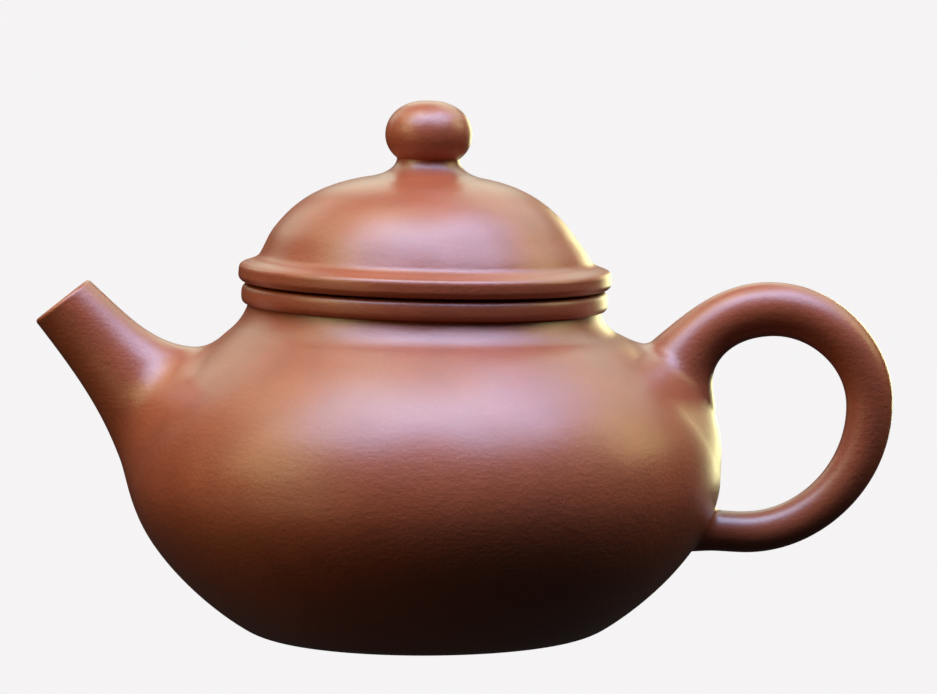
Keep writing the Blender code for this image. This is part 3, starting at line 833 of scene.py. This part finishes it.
def handle():
    """Round sections along the ear, with a rolled root at each end."""
    points = (body_point(HANDLE_ROOTS[0]), *map(np.array, HANDLE_POINTS), body_point(HANDLE_ROOTS[1]))
    ways = [heading(angle) for angle in (HANDLE_ROOT_WAY, 0.0, -math.pi / 2, math.pi, math.pi)]
    steps = 40
    path = smooth_path(points, ways, steps)
    quarters = np.linspace(0.0, len(points) - 1, len(path))
    thickness = np.interp(quarters, range(len(points)), HANDLE_THICKNESS)
    window = np.hanning(41)
    padded = np.pad(thickness, 20, mode="edge")
    thickness = np.convolve(padded, window / window.sum(), mode="valid")
    for flare, way_off in zip(HANDLE_FLARES, (quarters, quarters[-1] - quarters)):
        thickness += flare * np.clip(1.0 - way_off, 0.0, 1.0) ** 4
    tangents = unit(np.gradient(path, lengths(path), axis=0))
    trims = HANDLE_TOP_TRIM * (1.0 - smoothstep(quarters, 0.15, 1.0))
    trims += HANDLE_ROOT_TRIM * np.clip(1.0 - 4.0 * quarters, 0.0, 1.0) ** 2
    rings = []
    for middle, width, way, trim in zip(path, thickness, tangents, trims):
        tall_way = np.array((-way[1], way[0]))
        rings.append(ring_points(middle - trim / 2 * tall_way, (width - trim) / 2, width / 2, tall_way))
    ends = [ring + HANDLE_SINK * share * unit(ring - inner)
            for ring, inner in ((rings[0], rings[1]), (rings[-1], rings[-2])) for share in (0.3, 0.6, 1.0)]
    rings = np.array([*ends[2::-1], *rings, *ends[3:]])
    middle = len(rings) // 2
    top = rooted(rings[:middle + 1][::-1], by_side(*HANDLE_TOP_CLIMB), by_side(*HANDLE_TOP_SPREAD), 90, 28)
    low = rooted(rings[middle:], by_side(*HANDLE_LOW_CLIMB), by_side(*HANDLE_LOW_SPREAD), 90, 16)
    return lofted(top[:0:-1] + low)


def strainer():
    """Half a ball over the spout's hole, pierced all over."""
    way, hole = spout_line()
    axis = (body_point(hole[1], 1.0) - body_point(hole[1])) * SPOUT_SIDE
    middle = hole + WALL / way.dot(axis) * way - BALL_SINK * axis
    axis = np.array((axis[0], 0.0, axis[1]))
    middle = np.array((middle[0], 0.0, middle[1]))
    side = np.array((0.0, 1.0, 0.0))
    other = np.cross(axis, side)

    def ball(radius, count):
        angles = np.concatenate((np.linspace(0.03, math.pi / 2, count), [math.pi / 2] * 8))
        back = np.concatenate((np.zeros(count), np.linspace(0.6, BALL_SKIRT, 8)))
        turn = np.linspace(0.0, math.tau, TUBE_TURNS, endpoint=False)
        round_way = np.cos(turn)[:, None] * side + np.sin(turn)[:, None] * other
        return np.array([middle + radius * (math.sin(a) * round_way + math.cos(a) * axis) - b * axis
                         for a, b in zip(angles, back)])

    reach = np.full(TUBE_TURNS, STRAINER_ROOT)
    skin = rooted(ball(BALL_BORE + BALL_WALL, 30), reach, reach, 40, 10, inset=WALL, side=-1.0)
    bore = rooted(ball(BALL_BORE, 24), reach * 0.2, reach * 0.2, 30, 4, inset=WALL, side=-1.0)
    made = placed("ball", lofted(skin + bore[-2::-1]))
    face_outwards(made.data)
    marks, lines = [], []
    for lean, number in STRAINER_RINGS:
        for turn in np.linspace(0.0, math.tau, number, endpoint=False):
            away = math.cos(turn) * side + math.sin(turn) * other
            line = math.cos(math.radians(lean)) * axis + math.sin(math.radians(lean)) * away
            marks.append((middle + (BALL_BORE + BALL_WALL / 2) * line) * MM)
            lines.append(line)
    holes = plain_object("hole_marks", marks)
    layer = holes.data.attributes.new("line", "FLOAT_VECTOR", "POINT")
    layer.data.foreach_set("vector", np.array(lines, np.float32).ravel())
    modifier = made.modifiers.new("pierced", "NODES")
    modifier.node_group = piercing_tree()
    set_input(modifier, "Hole marks", holes)
    set_input(modifier, "Hole radius", STRAINER_HOLE_R * MM)
    set_input(modifier, "Drill length", 3.0 * BALL_WALL * MM)
    set_input(modifier, "Drill sides", 24)
    set_input(modifier, "Clay", INNER)
    pierced = solid_mesh(made)
    bpy.data.objects.remove(holes, do_unlink=True)
    return pierced


def piercing_tree():
    """Drills a round hole through a wall at every mark, along the line that the mark carries."""
    tree, given, result = tree_of("pierced_by_drills", (
        ("Wall", "NodeSocketGeometry", None),
        ("Hole marks", "NodeSocketObject", None),
        ("Hole radius", "NodeSocketFloat", 0.00085),
        ("Drill length", "NodeSocketFloat", 0.004),
        ("Drill sides", "NodeSocketInt", 24),
        ("Clay", "NodeSocketMaterial", None),
    ))
    marks = add_node(tree, "GeometryNodeObjectInfo", {"Object": given.outputs["Hole marks"]})
    line = add_node(tree, "GeometryNodeInputNamedAttribute", {"Name": "line"}, data_type="FLOAT_VECTOR")
    turn = add_node(tree, "FunctionNodeAlignRotationToVector", {"Vector": line.outputs["Attribute"]},
                    axis="Z")
    drill = add_node(tree, "GeometryNodeMeshCylinder", {
        "Vertices": given.outputs["Drill sides"], "Radius": given.outputs["Hole radius"],
        "Depth": given.outputs["Drill length"]})
    drills = add_node(tree, "GeometryNodeInstanceOnPoints", {
        "Points": marks.outputs["Geometry"], "Instance": drill.outputs["Mesh"], "Rotation": turn.outputs[0]})
    solid = add_node(tree, "GeometryNodeRealizeInstances", {"Geometry": drills.outputs[0]})
    cut = add_node(tree, "GeometryNodeMeshBoolean", operation="DIFFERENCE")
    tree.links.new(given.outputs["Wall"], cut.inputs["Mesh 1"])
    tree.links.new(solid.outputs[0], cut.inputs["Mesh 2"])
    whole = add_node(tree, "GeometryNodeRealizeInstances", {"Geometry": cut.outputs["Mesh"]})
    clay = add_node(tree, "GeometryNodeSetMaterial",
                    {"Geometry": whole.outputs[0], "Material": given.outputs["Clay"]})
    tree.links.new(clay.outputs[0], result.inputs[0])
    return tree


# ---------------------------------------------------------------- the lid
def dome_curve(inset, count):
    foot = np.array((DOME_R - inset, RIM_TOP))
    crown = np.array((0.0, CROWN_Z - inset))
    foot_pull = foot + DOME_PULL[0] * heading(math.pi - DOME_RISE)
    return bezier(foot, foot_pull, crown + (DOME_PULL[1], 0.0), crown, count)


def lid_rim():
    """A ring with a softened upper corner and a hollow slope that runs up into the foot of the dome."""
    edge = np.array((RIM_R - 0.10, SEAT_Z + RIM_EDGE_HEIGHT))
    under = arc((RIM_R - RIM_ROUND, SEAT_Z + RIM_ROUND), RIM_ROUND, -math.pi / 2, 0.0, 14)
    dome = dome_curve(0.0, 200)
    foot = dome[0]
    shelf = bezier(edge, (DOME_R + 1.7, edge[1] + 0.75), foot - 1.4 * unit(dome[1] - dome[0]), foot, 40)
    corner = eased((under[-1], edge, shelf[RIM_CORNER_POINT]), RIM_ROUNDING, 11)
    inside = np.array(((FLANGE_R - FLANGE_WALL, RIM_TOP), (FLANGE_R - FLANGE_WALL, SEAT_Z)))
    return turned(np.vstack((under, corner[1:-1], shelf[RIM_CORNER_POINT:], inside)), OUTER)


def lid_dome():
    outside = dome_curve(0.0, 110)
    inside = dome_curve(DOME_WALL, 60)[::-1]
    outside = outside[outside[:, 0] > AIR_HOLE_R]
    inside = inside[inside[:, 0] > AIR_HOLE_R]
    hole = ((AIR_HOLE_R, outside[-1][1]), (AIR_HOLE_R, inside[0][1]))
    return turned(np.vstack((outside, hole, inside)), OUTER)


def lid_flange():
    inner, middle = FLANGE_R - FLANGE_WALL, FLANGE_R - FLANGE_WALL / 2
    start = (middle, SEAT_Z)
    corners_in = ((inner, SEAT_Z), (inner, FLANGE_LOW))
    corners_out = ((FLANGE_R, FLANGE_LOW), (FLANGE_R, SEAT_Z))
    return turned(eased((start, *corners_in, *corners_out, start), 0.5)[:-1], INNER)


def knob_neck():
    """The waist under the knob, pressed down smoothly onto the dome."""
    curve = dome_curve(0.0, 400)
    run = lengths(curve)
    at = np.interp(-(KNOB_NECK_R + KNOB_NECK_SPREAD), -curve[:, 0], run)
    foot = along(curve, run, [at])[0]
    way = unit(along(curve, run, [at + 0.5])[0] - foot)
    top = np.array((KNOB_NECK_R, KNOB_LOW + 0.25))
    waist = bezier(foot - (0, 0.015), foot + 0.85 * KNOB_NECK_SPREAD * way, top - (0.1, 1.1), top, 36)
    low = foot[1] - 0.8
    under = np.array(((AIR_HOLE_R, top[1]), (AIR_HOLE_R, low), (foot[0] - 1.0, low - 0.1)))
    return turned(np.vstack((waist, under)), OUTER)


def knob():
    """A flattened ball with a fuller top, drilled for air."""
    first = -math.acos(KNOB_NECK_R / KNOB_R)
    angles = np.linspace(first, math.pi / 2, 110)
    half = (KNOB_TOP - KNOB_LOW) / (1 - math.sin(first))
    fullness = np.interp(angles, (first, 0.0, math.pi / 2), (1.0, KNOB_FULLNESS, KNOB_FULLNESS))
    heights = KNOB_LOW + half * (np.sin(angles) - math.sin(first))
    ball = np.column_stack((KNOB_R * np.cos(angles) ** fullness, heights))
    ball = ball[ball[:, 0] > AIR_HOLE_R + 0.35]
    edge, below = (AIR_HOLE_R, KNOB_TOP - 0.05), (AIR_HOLE_R, KNOB_TOP - 0.6)
    mouth = bezier(ball[-1], ball[-1] - (0.3, 0.0), edge, below, 8)
    return turned(np.vstack((ball, mouth[1:], ((AIR_HOLE_R, KNOB_LOW),))), OUTER)


def make_pot():
    for name, shape, clay, slot in (
        ("base_disc", base_disc, INNER, "inner_clay"),
        ("belly_wall", belly_wall, OUTER, "outer_clay"),
        ("shoulder_slab", shoulder_slab, OUTER, "outer_clay"),
        ("neck_band", neck_band, OUTER, "outer_clay"),
        ("mouth_ring", mouth_ring, OUTER, "outer_clay"),
        ("spout", spout, OUTER, "outer_clay"),
        ("handle", handle, OUTER, "outer_clay"),
        ("strainer", strainer, INNER, "inner_clay"),
    ):
        finish_piece("shaped_" + name, shape(), name, "pot", clay)


def make_lid():
    for name, shape, clay, slot in (
        ("lid_flange", lid_flange, INNER, "inner_clay"),
        ("lid_rim", lid_rim, OUTER, "outer_clay"),
        ("lid_dome", lid_dome, OUTER, "outer_clay"),
        ("knob_neck", knob_neck, OUTER, "outer_clay"),
        ("knob", knob, OUTER, "outer_clay"),
    ):
        finish_piece("shaped_" + name, shape(), name, "lid", clay)


# ---------------------------------------------------------------- studio
CAMERA_PLACE = (0.00715, -0.79989, 0.11885)
CAMERA_PITCH = math.radians(5.114)
LENS = 187.9
BACKDROP = (0.930, 0.913, 0.921)
FLOOR_GLOW = 0.985
FLOOR_REACH = 6.0
FLOOR_DROP = 0.0002
ROOM_GLOW = 0.02  # what the pot itself gets from all round
POT_MIDDLE = (0.0, 0.0, 0.042)
LIGHT_DISTANCE = 0.85

# The colour of each kind of light, as red, green and blue. Each light below has one power for all three.
DAYLIGHT = (0.75, 1.0, 1.6)
CEILING_LIGHT = (1.0, 0.95, 0.6)
LAMPLIGHT = (1.1, 1.0, 0.45)
SUNLIGHT = (1.0, 0.95, 0.5)
WALL_LIGHT = (0.75, 1.0, 0.8)

LIGHTS = (  # name, azimuth and elevation in degrees, size in metres, colour, watts
    ("window_left", -45, 62, 0.54, DAYLIGHT, 4.0),
    ("window_right", 45, 62, 0.54, DAYLIGHT, 3.5),
    ("window_far_right", 90, 62, 0.46, DAYLIGHT, 2.2),
    ("window_front", 0, 70, 0.46, DAYLIGHT, 2.0),
    ("ceiling", 0, 88, 0.50, CEILING_LIGHT, 1.5),
    ("lamp_left", -90, 62, 0.60, LAMPLIGHT, 2.2),
    ("lamp_low_left", -65, 32, 0.50, LAMPLIGHT, 2.0),
    ("lamp_low_right", 100, 32, 0.42, LAMPLIGHT, 1.5),
    ("lamp_table_left", -50, 4, 0.50, LAMPLIGHT, 0.4),
    ("low_sun", 156, 3, 0.30, SUNLIGHT, 1.6),
    ("wall_right", 140, 45, 0.50, WALL_LIGHT, 1.5),
    ("wall_left", -140, 32, 0.42, WALL_LIGHT, 0.8),
    ("wall_back", 180, 32, 0.42, WALL_LIGHT, 1.0),
)


def softbox(name, azimuth, elevation, size, colour, watts):
    """A square light on a dome round the pot. Azimuth 0 is before the pot, 90 on the handle's side."""
    around, up = math.radians(azimuth), math.radians(elevation)
    way = np.array((math.sin(around) * math.cos(up), -math.cos(around) * math.cos(up), math.sin(up)))
    light = bpy.data.lights.new(name, "AREA")
    light.shape = "SQUARE"
    light.size = size
    light.energy = watts
    light.color = colour
    made = placed(name, light)
    made.location = np.array(POT_MIDDLE) + LIGHT_DISTANCE * way
    made.rotation_euler = (Vector(POT_MIDDLE) - Vector(made.location)).to_track_quat("-Z", "Y").to_euler()
    made.visible_camera = False


def make_studio():
    camera = bpy.data.cameras.new("camera")
    camera.lens = LENS
    camera.sensor_width = 36.0
    camera.clip_start, camera.clip_end = 0.01, 20.0
    made = placed("camera", camera)
    made.location = CAMERA_PLACE
    made.rotation_euler = (math.pi / 2 - CAMERA_PITCH, 0.0, 0.0)
    bpy.context.scene.camera = made
    bpy.context.scene.view_settings.view_transform = "Standard"

    corner_ways = ((-1, -1), (1, -1), (1, 1), (-1, 1))
    floor = plain_object("floor", [(x * FLOOR_REACH, y * FLOOR_REACH, -FLOOR_DROP) for x, y in corner_ways],
                         faces=[(0, 1, 2, 3)])
    pale = bpy.data.materials.new("pale_table")
    pale.use_nodes = True
    shader = pale.node_tree.nodes["Principled BSDF"]
    shader.inputs["Base Color"].default_value = (0.0, 0.0, 0.0, 1)
    shader.inputs["Roughness"].default_value = 1.0
    shader.inputs["Specular IOR Level"].default_value = 0.0
    shader.inputs["Emission Color"].default_value = (*BACKDROP, 1)
    shader.inputs["Emission Strength"].default_value = FLOOR_GLOW
    floor.data.materials.append(pale)
    floor.visible_diffuse = False
    floor.visible_glossy = False

    world = bpy.data.worlds.new("studio")
    bpy.context.scene.world = world
    world.use_nodes = True
    tree = world.node_tree
    back = tree.nodes["Background"]
    back.inputs[0].default_value = (*BACKDROP, 1)
    back.inputs[1].default_value = 1.0
    dim = add_node(tree, "ShaderNodeBackground", {"Color": (1.0, 1.0, 1.0, 1), "Strength": ROOM_GLOW})
    seen = add_node(tree, "ShaderNodeLightPath")
    choose = add_node(tree, "ShaderNodeMixShader", {0: seen.outputs["Is Camera Ray"]})
    tree.links.new(dim.outputs[0], choose.inputs[1])
    tree.links.new(back.outputs[0], choose.inputs[2])
    tree.links.new(choose.outputs[0], tree.nodes["World Output"].inputs[0])

    for light in LIGHTS:
        softbox(*light)


make_pot()
make_lid()
make_studio()
